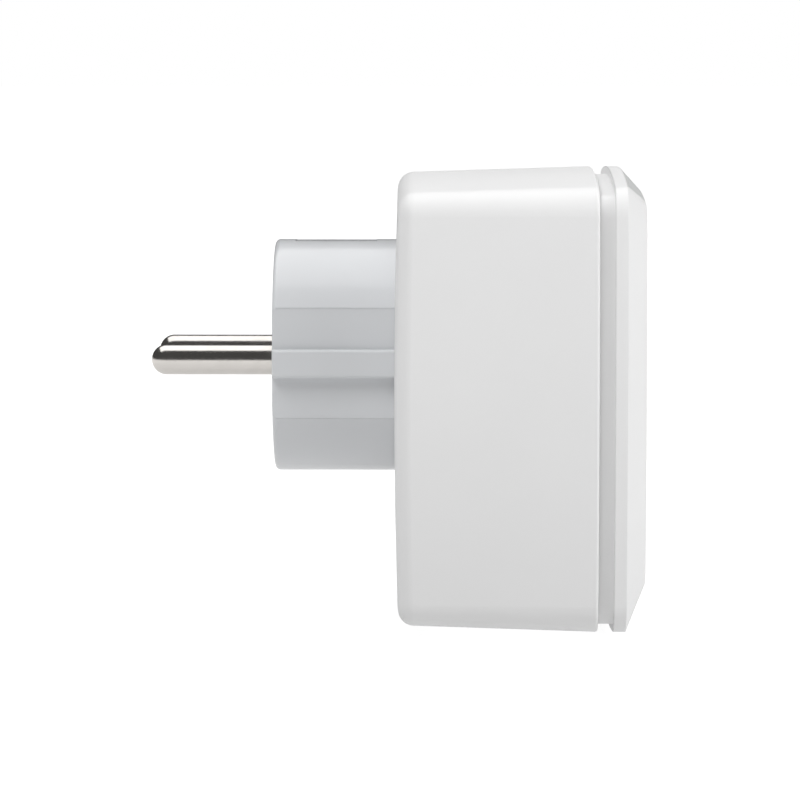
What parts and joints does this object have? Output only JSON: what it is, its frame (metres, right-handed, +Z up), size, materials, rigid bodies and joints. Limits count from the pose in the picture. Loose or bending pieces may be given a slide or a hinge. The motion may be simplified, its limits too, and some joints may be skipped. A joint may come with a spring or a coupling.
{
  "type": "plug-in power meter",
  "caption": "Square plug-in power meter: round plug with pins behind, recessed socket in front, push bar on the top bevel.",
  "frame": {"origin": "middle of the plug's end face, on the line between the two pins", "axes": "+X from the plug to the socket side, +Y across, through the two pins, +Z up, towards the push bar"},
  "size_m": [0.0773, 0.072, 0.072],
  "materials": {
    "case_white": "white moulded plastic, satin",
    "plug_grey": "light grey moulded plastic",
    "cup_white": "white moulded plastic, satin",
    "bar_grey": "light grey, slightly clear plastic",
    "pin_nickel": "nickel plated brass",
    "contact_brass": "bare brass strip",
    "earth_steel": "nickel plated spring strip",
    "carrier_plastic": "cream moulded plastic",
    "shutter_plastic": "white moulded plastic",
    "spring_steel": "drawn spring wire",
    "board_green": "lacquered circuit board",
    "switch_black": "black moulded plastic",
    "plunger_plastic": "cream moulded plastic",
    "lamp_lens": "clear epoxy lamp",
    "guide_clear": "clear light guide",
    "relay_base_black": "black moulded plastic",
    "relay_blue": "blue moulded cover",
    "bobbin_plastic": "white moulded plastic",
    "winding_copper": "enamelled copper winding",
    "soft_iron": "plated soft iron",
    "film_yellow": "yellow box capacitor",
    "varistor_blue": "blue epoxy disc",
    "fuse_glass": "glass fuse with plated caps",
    "can_black": "sleeved aluminium can",
    "ferrite": "sintered ferrite",
    "shunt_alloy": "resistance alloy strip",
    "shield_tin": "tinned sheet",
    "cable_flex": "flat flexible cable",
    "connector_cream": "cream connector housing",
    "screw_steel": "zinc plated steel"
  },
  "bodies": {
    "case": {"button_board": "board_green", "button_board_screws": "screw_steel", "button_switch": "switch_black", "carrier_screws": "screw_steel", "contact_carrier": "carrier_plastic", "cup_screws": "screw_steel", "earth_link": "earth_steel", "film_capacitor": "film_yellow", "front_cover": "case_white", "fuse": "fuse_glass", "housing_screws": "screw_steel", "input_capacitor": "can_black", "light_guide": "guide_clear", "line_busbar": "contact_brass", "line_contact": "contact_brass", "line_pin": "pin_nickel", "link_cable": "cable_flex", "lower_connector": "connector_cream", "main_board": "board_green", "main_board_screws": "screw_steel", "metering_chip": "switch_black", "neutral_busbar": "contact_brass", "neutral_contact": "contact_brass", "neutral_pin": "pin_nickel", "output_capacitor": "can_black", "plug_body": "plug_grey", "plug_earth_bracket": "earth_steel", "plug_screws": "screw_steel", "radio_board": "board_green", "radio_shield": "shield_tin", "rear_housing": "case_white", "relay_base": "relay_base_black", "relay_bobbin": "bobbin_plastic", "relay_case": "relay_blue", "relay_winding": "winding_copper", "relay_yoke": "soft_iron", "shunt_resistor": "shunt_alloy", "shutter_spring": "spring_steel", "socket_cup": "cup_white", "socket_earth_bracket": "earth_steel", "status_led": "lamp_lens", "transformer_base": "bobbin_plastic", "transformer_coil": "winding_copper", "transformer_core": "ferrite", "upper_connector": "connector_cream", "varistor": "varistor_blue"},
    "button": {"button_bar": "bar_grey"},
    "key": {"button_plunger": "plunger_plastic"},
    "shutter": {"shutter": "shutter_plastic"},
    "armature": {"relay_armature": "soft_iron"}
  },
  "joints": [
    {"name": "bar_press", "type": "slide", "parent": "case", "child": "button", "axis": [-0.7071, 0, -0.7071], "range_m": [0, 0.0005], "stiffness_N_per_m": 1500},
    {"name": "key_press", "type": "slide", "parent": "case", "child": "key", "axis": [-1, 0, 0], "range_m": [0, 0.00036], "stiffness_N_per_m": 20},
    {"name": "shutter_slide", "type": "slide", "parent": "case", "child": "shutter", "axis": [0, 0, 1], "range_m": [0, 0.0064], "stiffness_N_per_m": 120, "springref_m": -0.002, "deforming": ["shutter_spring"]},
    {"name": "armature_hinge", "type": "hinge", "parent": "case", "child": "armature", "pos_m": [0.03975, -0.0183, 0], "axis": [0, 0, 1], "range_deg": [0, 4.5], "stiffness_Nm_per_rad": 0.02, "springref_deg": -2.86}
  ],
  "couplings": [
    {"joint": "key_press", "follows": "bar_press", "ratio": 0.70711}
  ]
}
